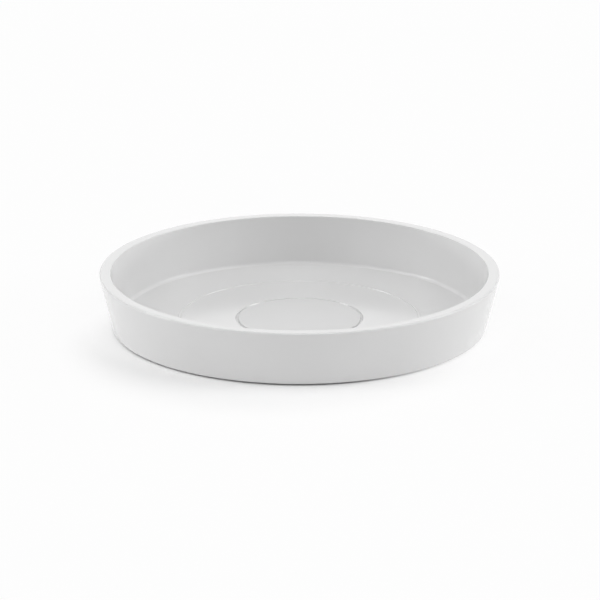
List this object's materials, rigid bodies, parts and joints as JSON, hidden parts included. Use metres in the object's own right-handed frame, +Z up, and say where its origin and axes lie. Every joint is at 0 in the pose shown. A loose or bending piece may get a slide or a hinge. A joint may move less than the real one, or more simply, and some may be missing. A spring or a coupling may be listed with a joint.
{
  "type": "plant saucer",
  "caption": "Round white plastic plant saucer with a flat rim, flared wall, low pot-seat ring and a shallow groove round its centre, standing on soft floor pads; catches drained water.",
  "frame": {"origin": "on the surface it stands on, under the centre of the tray", "axes": "+Z up along the axis that the tray is turned about, -Y towards the front, +X to the right"},
  "size_m": [0.21, 0.21, 0.03],
  "materials": {
    "white_plastic": "satin",
    "pad_rubber": "matte"
  },
  "bodies": {
    "root": {"saucer_tray": "white_plastic", "foot_pad_back_right": "pad_rubber", "foot_pad_back_left": "pad_rubber", "foot_pad_front_left": "pad_rubber", "foot_pad_front_right": "pad_rubber"}
  },
  "joints": []
}
